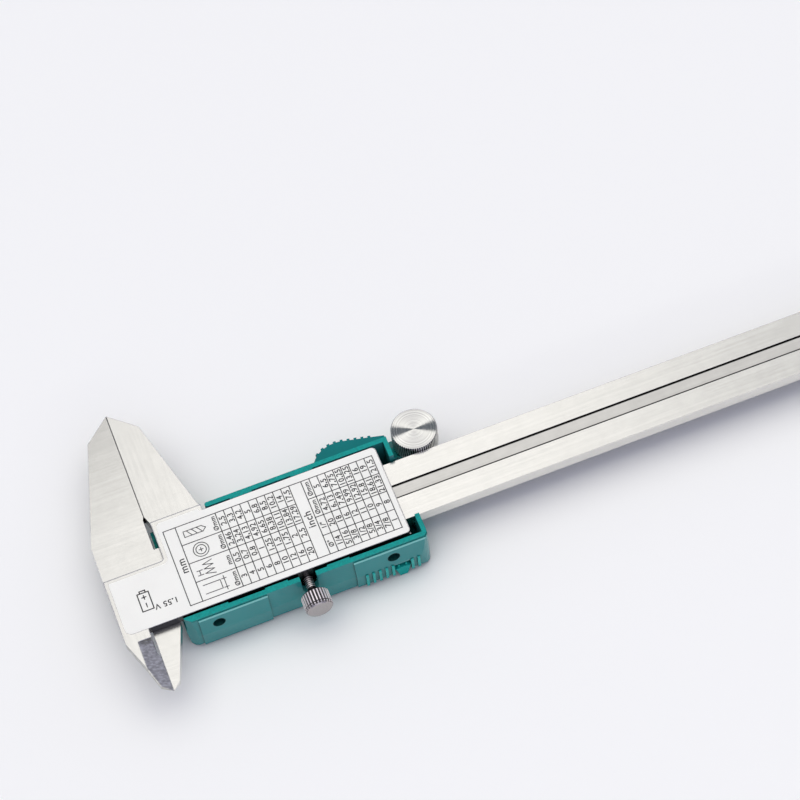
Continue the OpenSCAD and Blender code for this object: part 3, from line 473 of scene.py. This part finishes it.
def clear(name, tone, roughness):
    """Clear plastic of a window."""
    s = Shader(name, Transmission_Weight=1.0, IOR=1.45)
    drift = s.noise((300, 300, 300))
    s.colour(s.ramp(drift, drifting(tone, 0.98, 1.0)))
    s.rough(s.spread(drift, roughness, roughness + 0.02))
    return s.mat


ROLLER_AXIS = (68.9, 13.8, 0.0)
LOCK_AXIS = (31.4, 0.0, -1.73)
TEAL = (0.0005, 0.300, 0.258)
# Paler and greyer than TEAL: a painted reflection of the floor on the walls
WALL_TEAL_WITH_REFLECTION = (0.034, 0.252, 0.244)
DEEP_TEAL = (0.0005, 0.185, 0.175)
STEEL = (0.54, 0.531, 0.508)

# Painted light on the beam's upright faces, painted shade in its groove and towards its jaw's end
STEEL_X = ground_steel("steel_ground_lengthwise", STEEL, 0.24, (30, 1500, 1500), side=1.5,
                       groove=(1.92, -0.1), tip_shade=0.76)
# Painted shade on the plate's lower edge, below it and towards the jaw's end
STEEL_PLATE = ground_steel("steel_plate", STEEL, 0.24, (1500, 60, 1500), plate=(-12.0, 0.0),
                           bevel=-13.0, tip_shade=0.94)
# Painted shade on the rod's upright sides and along its edges
ROD_STEEL = ground_steel("steel_drawn_rod", (0.45, 0.44, 0.42), 0.31, (20, 1700, 1700), side=0.12,
                         gap_shade=1.6, drift=(0.84, 1.09))
ROLLER_STEEL = turned_steel("steel_turned_roller", (0.475, 0.472, 0.458), 0.06, at(*ROLLER_AXIS), "Z",
                            (5.60, 5.69), slope=(0.085, 0.13))
LOCK_STEEL = turned_steel("steel_turned_lock", (0.43, 0.395, 0.395), 0.22, at(*LOCK_AXIS), "Y",
                          (3.2, 3.45), thread=(1.15, 0.5))
SMALL_STEEL = plain_metal("steel_small_parts", (0.62, 0.61, 0.59), 0.32)
BRASS = plain_metal("brass", (0.78, 0.58, 0.26), 0.34)
CELL = plain_metal("cell_can", (0.76, 0.76, 0.74), 0.25)
TEAL_CASE = case_plastic("teal_case", TEAL, WALL_TEAL_WITH_REFLECTION, DEEP_TEAL)
TEAL_COVER = plastic("teal_cover", (0.0005, 0.33, 0.29), 0.62, Specular_IOR_Level=0.2)
BOARD = plastic("board_mask", (0.015, 0.10, 0.045), 0.40)
RESIN = plastic("resin", (0.012, 0.012, 0.013), 0.45, grain=0.05)
FILM = printed("scale_film", (0.035, 0.035, 0.038), 0.42)
DISPLAY = printed("display_glass", (0.42, 0.47, 0.38), 0.20)
RUBBER = plastic("contact_rubber", (0.30, 0.21, 0.20), 0.65)
WINDOW = clear("window", (0.95, 0.98, 0.97), 0.03)
BEZEL = printed("bezel", (0.016, 0.017, 0.020), 0.22)
LIGHT_BUTTON = plastic("button_light", (0.62, 0.62, 0.58), 0.45)
BRIGHT_BUTTON = plastic("button_bright", (0.62, 0.085, 0.012), 0.45)
LABEL = printed("label_film", (0.955, 0.946, 0.852), 0.42, Specular_IOR_Level=0.3)
INK = printed("ink_dark", (0.012, 0.011, 0.010), 0.55)
INK_LIGHT = printed("ink_light", (0.72, 0.72, 0.70), 0.50)

NODE_MATERIALS = {
    STEEL_X: ("beam",),
    STEEL_PLATE: ("slider_frame", "end_stop"),
    ROD_STEEL: ("depth_rod",),
    ROLLER_STEEL: ("roller",),
    LOCK_STEEL: ("lock_screw",),
    SMALL_STEEL: ("end_stop_screws", "depth_rod_rivet", "gib_screws", "housing_screws",
                  "dome_switches", "roller_axle"),
    BRASS: ("gib_strip", "lock_pad", "battery_base_contact", "battery_side_contact"),
    CELL: ("battery",),
    TEAL_CASE: ("housing",),
    TEAL_COVER: ("battery_cover",),
    BOARD: ("circuit_board", "scale_board"),
    RESIN: ("controller_blob",),
    FILM: ("scale_film",),
    DISPLAY: ("lcd_panel",),
    RUBBER: ("zebra_strips",),
    WINDOW: ("lcd_window",),
    BEZEL: ("front_bezel",),
    LIGHT_BUTTON: ("unit_button", "zero_button"),
    BRIGHT_BUTTON: ("power_button",),
    LABEL: ("back_label",),
}
for material, names in NODE_MATERIALS.items():
    for name in names:
        for slot in nodes[name].material_slots:
            slot.material = material


# Ink: thin flat meshes that lie on a surface

# How far strokes of text are widened to each side, in millimetres, and how much decimal points grow
STROKE_GAIN = 0.035
POINT_GAIN = 1.35
# Cap height of the font as a share of its size
CAP_SHARE = 0.72


def add_piece(name, mesh, material):
    """Puts a finished mesh into the scene."""
    data = bpy.data.meshes.new(name)
    mesh.to_mesh(data)
    mesh.free()
    data.materials.append(material)
    piece = bpy.data.objects.new(name, data)
    bpy.context.scene.collection.objects.link(piece)
    return piece


def islands(mesh):
    """Groups of connected vertices."""
    seen = set()
    for start in mesh.verts:
        if start in seen:
            continue
        island, edge = {start}, [start]
        while edge:
            near = {e.other_vert(v) for v in edge for e in v.link_edges} - island
            island |= near
            edge = list(near)
        seen |= island
        yield island


def embolden(flat, height):
    """Widens the strokes of a text's mesh, and its decimal points more, as small print needs."""
    mesh = bmesh.new()
    mesh.from_mesh(flat)
    bmesh.ops.remove_doubles(mesh, verts=mesh.verts, dist=height * 0.02)
    shift = {}
    for v in mesh.verts:
        rim = [e.link_loops[0] for e in v.link_edges if e.is_boundary]
        if len(rim) != 2:
            continue
        runs = [(loop.link_loop_next.vert.co - loop.vert.co).normalized() for loop in rim]
        out = [Vector((run.y, -run.x, 0)) for run in runs]
        shift[v] = (out[0] + out[1]) / max(0.5, 1 + out[0].dot(out[1]))
    for v, out in shift.items():
        v.co += out * STROKE_GAIN
    for island in islands(mesh):
        if max(v.co.y for v in island) < height * 0.35:
            middle = sum(v.co.x for v in island) / len(island)
            for v in island:
                v.co.x = middle + (v.co.x - middle) * POINT_GAIN
                v.co.y *= POINT_GAIN
    mesh.to_mesh(flat)
    mesh.free()


class Ink:
    """Flat strokes and text in a plane: right and up are the reading directions in the caliper
    frame."""

    def __init__(self, name, right, up):
        self.name = name
        self.right = Vector(right)
        self.up = Vector(up)
        self.mesh = bmesh.new()

    def to_row(self, origin, u, v):
        return at(*(Vector(origin) + self.right * u + self.up * v))

    def polygon(self, origin, points):
        self.mesh.faces.new([self.mesh.verts.new(self.to_row(origin, u, v)) for u, v in points])

    def stroke(self, origin, a, b, width):
        """Straight stroke from a to b, as a rectangle."""
        a, b = Vector(a), Vector(b)
        run = (b - a).normalized()
        side = Vector((-run.y, run.x)) * width / 2
        end = run * width / 2
        self.polygon(origin, [a - side - end, b - side + end, b + side + end, a + side - end])

    def path(self, origin, points, width):
        for a, b in zip(points, points[1:]):
            self.stroke(origin, a, b, width)

    def ring(self, origin, centre, radius, width, steps=28):
        turn = [2 * math.pi * i / steps for i in range(steps + 1)]
        u, v = centre
        points = [(u + radius * math.cos(t), v + radius * math.sin(t)) for t in turn]
        self.path(origin, points, width)

    def text(self, origin, words, height):
        """Centred text with a given cap height."""
        curve = bpy.data.curves.new("words", "FONT")
        curve.body = words
        curve.size = height / CAP_SHARE
        curve.align_x = "CENTER"
        curve.resolution_u = 3
        curve.space_character = 1.08
        holder = bpy.data.objects.new("words", curve)
        bpy.context.scene.collection.objects.link(holder)
        bpy.context.view_layer.update()
        graph = bpy.context.evaluated_depsgraph_get()
        flat = bpy.data.meshes.new_from_object(holder.evaluated_get(graph))
        embolden(flat, height)
        places = [self.to_row(origin, v.co.x, v.co.y - height / 2) for v in flat.vertices]
        verts = [self.mesh.verts.new(place) for place in places]
        for face in flat.polygons:
            self.mesh.faces.new([verts[i] for i in face.vertices])
        bpy.data.objects.remove(holder)
        bpy.data.curves.remove(curve)
        bpy.data.meshes.remove(flat)

    def finish(self, body, material):
        piece = add_piece(self.name, self.mesh, material)
        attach(piece, body)


def number(value, digits):
    """A number without zeros at its end."""
    text = f"{value:.{digits}f}"
    return text.rstrip("0").rstrip(".") if "." in text else text


# Back label: film with rounded corners, and a printed table of sizes

PLATE_TOP = 2.4
LABEL_TOP = PLATE_TOP + 0.095
INK_TOP = PLATE_TOP + 0.115
# Corners of the film and their radii, and the chamfer of its edge
LABEL_CORNERS = (
    ((-13.5, 2.0), 0.3), ((-13.5, -12.7), 1.7), ((57.9, -12.7), 1.0), ((57.9, 12.3), 1.0),
    ((12.9, 12.3), 0.3), ((12.9, 13.0), 0.4), ((1.9, 13.0), 1.2), ((1.9, 2.0), 1.5))
LABEL_CHAMFER = 0.03


def rounded(points, radii, steps=6):
    """Outline with each corner replaced by an arc of its radius."""
    result = []
    for i, corner in enumerate(points):
        corner = Vector(corner)
        before = (Vector(points[i - 1]) - corner).normalized()
        after = (Vector(points[(i + 1) % len(points)]) - corner).normalized()
        r = radii[i]
        half = before.angle(after) / 2
        reach = r / math.tan(half)
        centre = corner + (before + after).normalized() * r / math.sin(half)
        start, end = corner + before * reach - centre, corner + after * reach - centre
        for k in range(steps + 1):
            result.append(centre + start.lerp(end, k / steps).normalized() * r)
    return result


def label_film():
    """Film on the slider plate, a closed sheet with rounded corners and a chamfered edge."""
    outline = rounded(*zip(*LABEL_CORNERS))
    middle = sum(outline, Vector((0, 0))) / len(outline)
    mesh = bmesh.new()
    rings = []
    for inset, z in ((0.0, PLATE_TOP), (0.0, LABEL_TOP - LABEL_CHAMFER), (LABEL_CHAMFER, LABEL_TOP)):
        inner = [p - (p - middle).normalized() * inset for p in outline]
        rings.append([mesh.verts.new(at(*p, z)) for p in inner])
    for low, high in zip(rings, rings[1:]):
        for i in range(len(outline)):
            j = (i + 1) % len(outline)
            mesh.faces.new([low[i], low[j], high[j], high[i]])
    mesh.faces.new(rings[-1])
    mesh.faces.new(list(reversed(rings[0])))
    bmesh.ops.recalc_face_normals(mesh, faces=mesh.faces)
    piece = add_piece("back_label_film", mesh, LABEL)
    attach(piece, "slider")
    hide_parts("back_label")


# Place of the table, heights of its rows, width of its rules and of the strokes of its pictures
TABLE_X = 3.0
TABLE_Y = (-11.04, 10.22)
TITLE, HEADER, ROW, SHORT_ROW = 3.1, 10.2, 2.1, 2.03
TITLE_TEXT, UNIT_TEXT, CELL_TEXT = 1.9, 1.2, 1.45
COLUMNS = 4
LINE = 0.22
THIN = 0.2
# Metric threads by diameter and pitch, inch threads by eighths of an inch and turns per inch
METRIC = ((3, 0.5), (4, 0.7), (5, 0.8), (6, 1), (8, 1.25), (10, 1.5), (12, 1.75), (16, 2),
          (20, 2.5))
INCH = ((2, 20), (2.5, 18), (3, 16), (4, 12), (5, 11), (6, 10), (7, 9), (8, 8))
INCH_NAMES = ("1/4", "5/16", "3/8", "1/2", "5/8", "3/4", "7/8", "1")


METRIC_UNITS = ("Ømm", "mm", "Ømm", "Ømm")
INCH_UNITS = ("Ø\"", "1/\"", "Ømm", "Ømm")
# Depth of both flanks of a thread in pitches: metric and inch
METRIC_DEPTH, INCH_DEPTH = 1.0825, 1.2807
MM_PER_INCH = 25.4


def metric_row(size, pitch):
    """Diameter, pitch, core and drill of a metric thread."""
    core = size - METRIC_DEPTH * pitch
    return number(size, 0), number(pitch, 2), number(core, 2), number(size - pitch, 1)


def inch_row(name, eighths, turns):
    """Name, turns per inch, core and drill of an inch thread, the drill in quarter millimetres."""
    core = MM_PER_INCH * (eighths / 8 - INCH_DEPTH / turns)
    drill = round((core + 0.28) * 4) / 4
    return name, number(turns, 0), number(core, 2), number(drill, 2)


def label_table():
    """Table that reads along +Y, with the tops of its letters towards the jaws."""
    ink = Ink("label_table", (0, 1, 0), (-1, 0, 0))
    low, high = TABLE_Y
    width = (high - low) / COLUMNS

    def rule(x, y0=low, y1=high):
        ink.stroke((0, 0, INK_TOP), (y0, -x), (y1, -x), LINE)

    def post(y, x0, x1):
        ink.stroke((0, 0, INK_TOP), (y, -x0), (y, -x1), LINE)

    def cell(x, column, words, height):
        ink.text((x, low + width * (column + 0.5), INK_TOP), words, height)

    metric = [metric_row(*thread) for thread in METRIC]
    inch = [inch_row(name, *thread) for name, thread in zip(INCH_NAMES, INCH)]
    x = TABLE_X
    rule(x)
    for title, units, head, rows, step in (("mm", METRIC_UNITS, HEADER, metric, ROW),
                                           ("inch", INCH_UNITS, ROW, inch, SHORT_ROW)):
        ink.text((x + TITLE / 2, (low + high) / 2, INK_TOP), title, TITLE_TEXT)
        x += TITLE
        rule(x)
        top = x
        x += head
        for column, unit in enumerate(units):
            cell(x - ROW / 2, column, unit, UNIT_TEXT)
        rule(x)
        for row in rows:
            for column, words in enumerate(row):
                cell(x + step / 2, column, words, CELL_TEXT)
            x += step
            rule(x)
        for column in range(1, COLUMNS):
            post(low + width * column, top, x)
    for y in TABLE_Y:
        post(y, TABLE_X, x)

    # Small pictures in the tall header: rod, thread, core and drill
    for column, picture in enumerate((rod_sign, thread_sign, core_sign, drill_sign)):
        picture(ink, (TABLE_X + TITLE + 4.0, low + width * (column + 0.5), INK_TOP))
    ink.finish("slider", INK)


def rod_sign(ink, o):
    ink.path(o, [(-1.2, 2.6), (-1.2, -1.6), (1.2, -1.6), (1.2, 2.6)], THIN)
    ink.stroke(o, (-1.9, -2.6), (1.9, -2.6), THIN)
    for side in (-1, 1):
        ink.stroke(o, (side * 1.2, -2.0), (side * 1.2, -3.1), THIN)


def thread_sign(ink, o):
    across = (-1.9, -1.27, -0.63, 0, 0.63, 1.27, 1.9)
    ink.path(o, [(u, 1.0 if i % 2 else -1.4) for i, u in enumerate(across)], THIN)
    ink.stroke(o, (-1.27, 2.2), (0, 2.2), THIN)
    for u in (-1.27, 0):
        ink.stroke(o, (u, 1.5), (u, 2.8), THIN)


def core_sign(ink, o):
    ink.ring(o, (0, 0), 1.9, THIN)
    ink.ring(o, (0, 0), 1.25, THIN)
    ink.stroke(o, (-0.5, 0), (0.5, 0), THIN)
    ink.stroke(o, (0, -0.5), (0, 0.5), THIN)


def drill_sign(ink, o):
    ink.path(o, [(-0.8, 2.6), (-0.8, -2.0), (0, -2.9), (0.8, -2.0), (0.8, 2.6), (-0.8, 2.6)],
             THIN)
    for v in (-1.4, -0.1, 1.2):
        ink.stroke(o, (-0.8, v - 0.5), (0.8, v + 0.6), THIN)


# Strokes of the cell's outline and of the signs of its poles
CELL_LINE, POLE_LINE = 0.28, 0.26


def label_cell_mark():
    """Plain sign of a cell, and its voltage, upside down, on the label's left end."""
    ink = Ink("label_cell_mark", (0, 1, 0), (-1, 0, 0))
    o = (-6.6, -5.6, INK_TOP)
    ink.path(o, [(-2.6, -1.4), (2.2, -1.4), (2.2, 1.4), (-2.6, 1.4), (-2.6, -1.4)], CELL_LINE)
    ink.path(o, [(2.2, -0.7), (2.8, -0.7), (2.8, 0.7), (2.2, 0.7)], CELL_LINE)
    for a, b in (((-1.7, 0), (-0.7, 0)), ((0.5, 0), (1.5, 0)), ((1.0, -0.5), (1.0, 0.5))):
        ink.stroke(o, a, b, POLE_LINE)
    ink.finish("slider", INK)
    ink = Ink("label_voltage", (-1, 0, 0), (0, -1, 0))
    ink.text((-2.0, -8.2, INK_TOP), "1.55 V", 1.5)
    ink.finish("slider", INK)


# Front side: graduation on the scale film and the display's digits

# Level of the scale film's face, and the first mark's place and the number of marks, 1 mm apart
FILM_FACE = -3.43
SCALE_START = 60.0
SCALE_MARKS = 151
SCALE_LINE = 0.14


def beam_scale():
    """Lines and numbers that read from the front, so +X runs to the left of the reader."""
    ink = Ink("beam_scale", (1, 0, 0), (0, -1, 0))
    z = FILM_FACE - 0.012
    for i in range(SCALE_MARKS):
        x = SCALE_START + i
        tall = 3.4 if i % 10 == 0 else 2.6 if i % 5 == 0 else 1.9
        ink.stroke((x, 6.0, z), (0, 0), (0, tall), SCALE_LINE)
        if i % 10 == 0:
            ink.text((x, 0.4, z), number(i, 0), 2.2)
    ink.finish("beam", INK_LIGHT)


# Strokes of a nought on the display, as ends in digit widths and half heights
NOUGHT = (((0, 2), (1, 2)), ((1, 1), (1, 2)), ((1, 0), (1, 1)), ((0, 0), (1, 0)), ((0, 0), (0, 1)),
          ((0, 1), (0, 2)))
DIGIT_WIDE, DIGIT_HALF, DIGIT_PITCH, DIGIT_LINE = 2.0, 2.6, 3.6, 0.42


def display_digits():
    """The reading of closed jaws, 0.00 mm, behind the window."""
    ink = Ink("display_digits", (1, 0, 0), (0, -1, 0))
    window_low, window_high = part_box("lcd_window")
    middle = (Vector(window_low) + Vector(window_high)) / 2 / MM + ORIGIN
    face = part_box("lcd_panel")[0][2] / MM + ORIGIN.z - 0.02
    foot = middle.y + DIGIT_HALF
    for place in range(3):
        left = middle.x + 3.0 + (place - 2) * DIGIT_PITCH
        for ends in NOUGHT:
            a, b = ((u * DIGIT_WIDE, v * DIGIT_HALF) for u, v in ends)
            ink.stroke((left, foot, face), a, b, DIGIT_LINE)
        if place == 0:
            ink.stroke((left + DIGIT_WIDE + 0.8, foot, face), (0, 0), (0, 0.1), 0.45)
    ink.text((middle.x + 11.0, middle.y + 1.6, face), "mm", 1.3)
    ink.finish("slider", INK)


label_film()
label_table()
label_cell_mark()
beam_scale()
display_digits()


# Stage: floor, light and the photograph's camera

# Reach of the painted contact shadow where something stands on the paper, and what is left of its tone
# there
CONTACT_SHADOW_REACH, CONTACT_SHADOW_TONE = 7.0, 0.76


def floor():
    """Pale paper, larger than any view needs, with a painted contact shadow around what stands on it.
    """
    mesh = bmesh.new()
    bmesh.ops.create_grid(mesh, x_segments=8, y_segments=8, size=4.0)
    s = Shader("floor_paper", Roughness=0.9, Specular_IOR_Level=0.1)
    cloud = s.noise((3, 3, 3))
    paper = s.ramp(cloud, shade((0.975, 0.97, 0.91), (0.985, 0.98, 0.92)))
    # Painted contact shadow
    s.colour(s.darken(paper, s.corner_shade(CONTACT_SHADOW_REACH), CONTACT_SHADOW_TONE))
    add_piece("floor", mesh, s.mat)


# Weak strip lamp in front of the caliper
STRIP_PLACE = (0.07, -1.15, 0.62)
STRIP_TARGET = (-0.06, 0.0, 0.008)
STRIP_SIZE = (1.50, 0.10)
STRIP_POWER = 1.0


def area_light(name, place, target, size, energy):
    data = bpy.data.lights.new(name, "AREA")
    data.shape = "RECTANGLE"
    data.size, data.size_y = size
    data.energy = energy
    lamp = bpy.data.objects.new(name, data)
    lamp.location = place
    lamp.rotation_euler = (Vector(target) - Vector(place)).to_track_quat("-Z", "Y").to_euler()
    bpy.context.scene.collection.objects.link(lamp)


class Sky(Shader):
    """Soft dome of light: each direction of the world has its own level."""

    def __init__(self, name):
        self.world = bpy.data.worlds.new(name)
        self.world.use_nodes = True
        self.tree = self.world.node_tree
        self.place = self.add("ShaderNodeTexCoord").outputs["Generated"]

    def along(self, angle, centre):
        """Distance from a centre, in the direction's x and y, along a line at an angle."""
        x = self.math("MULTIPLY", self.math("SUBTRACT", self.axis("X"), centre[0]), math.cos(angle))
        y = self.math("MULTIPLY", self.math("SUBTRACT", self.axis("Y"), centre[1]), math.sin(angle))
        return self.math("ADD", x, y)

    def band(self, value, low, high, soft):
        """1 where a value lies between low and high."""
        return self.math("MULTIPLY", self.step(value, low - soft, low + soft),
                         self.step(value, high + soft, high - soft))


# Light of each part of the dome: front, top, back, low ring and dark band
SKY_FRONT = (0.56, 0.575, 0.80)
SKY_TOP = (1.76, 1.745, 1.72)
SKY_BACK = (2.05, 2.035, 2.01)
SKY_LOW = (0.49, 0.50, 0.64)
SKY_BAND = (0.25, 0.28, 0.32)
# The band's direction, centre, reach, width and gap, in the x and y of a direction
BAND_ANGLE = math.radians(-13)
BAND_CENTRE = (0.118, 0.487)
BAND_REACH = (-0.36, 0.36)
BAND_WIDTH = (-0.055, 0.055)
BAND_GAP = (-0.125, 0.10)


def studio():
    """Bright light from above and behind, dim light from the front and the horizon.

    A dark band crosses the bright part, with a gap in its middle through which flat steel is lit."""
    sky = Sky("studio")
    level = sky.mix(sky.step(sky.axis("Y"), -0.26, -0.14), SKY_FRONT, SKY_TOP)
    level = sky.mix(sky.step(sky.axis("Y"), 0.35, 0.43), level, SKY_BACK)
    level = sky.mix(sky.step(sky.axis("Z"), 0.78, 0.68), level, SKY_LOW)
    lengthwise = sky.along(BAND_ANGLE, BAND_CENTRE)
    crosswise = sky.along(BAND_ANGLE + math.pi / 2, BAND_CENTRE)
    dark = sky.math("MULTIPLY", sky.band(lengthwise, *BAND_REACH, 0.03),
                    sky.band(crosswise, *BAND_WIDTH, 0.012))
    gap = sky.band(lengthwise, *BAND_GAP, 0.015)
    dark = sky.math("MULTIPLY", dark, sky.math("SUBTRACT", 1.0, gap))
    background = sky.tree.nodes["Background"]
    sky.link(sky.mix(dark, level, SKY_BAND), background.inputs["Color"])
    bpy.context.scene.world = sky.world


# Camera's place in the caliper frame, its right, up and back directions, and its focal length
EYE = (-10.160, -312.907, 581.975)
EYE_RIGHT = (0.93285638, -0.35197013, -0.07678547)
EYE_UP = (0.34079483, 0.79310723, 0.5048166)
EYE_BACK = (-0.11678125, -0.49708948, 0.85980474)
SENSOR, LENS = 36.0, 123.75


def camera():
    data = bpy.data.cameras.new("camera")
    data.sensor_width = SENSOR
    data.lens = LENS
    data.clip_start = 0.01
    turn = Matrix((EYE_RIGHT, EYE_UP, EYE_BACK)).transposed().to_4x4()
    eye = bpy.data.objects.new("camera", data)
    eye.matrix_world = Matrix.Translation(at(*EYE)) @ turn
    bpy.context.scene.collection.objects.link(eye)
    bpy.context.scene.camera = eye


floor()
studio()
area_light("front", STRIP_PLACE, STRIP_TARGET, STRIP_SIZE, STRIP_POWER)
camera()

bpy.context.scene.view_settings.view_transform = "Standard"
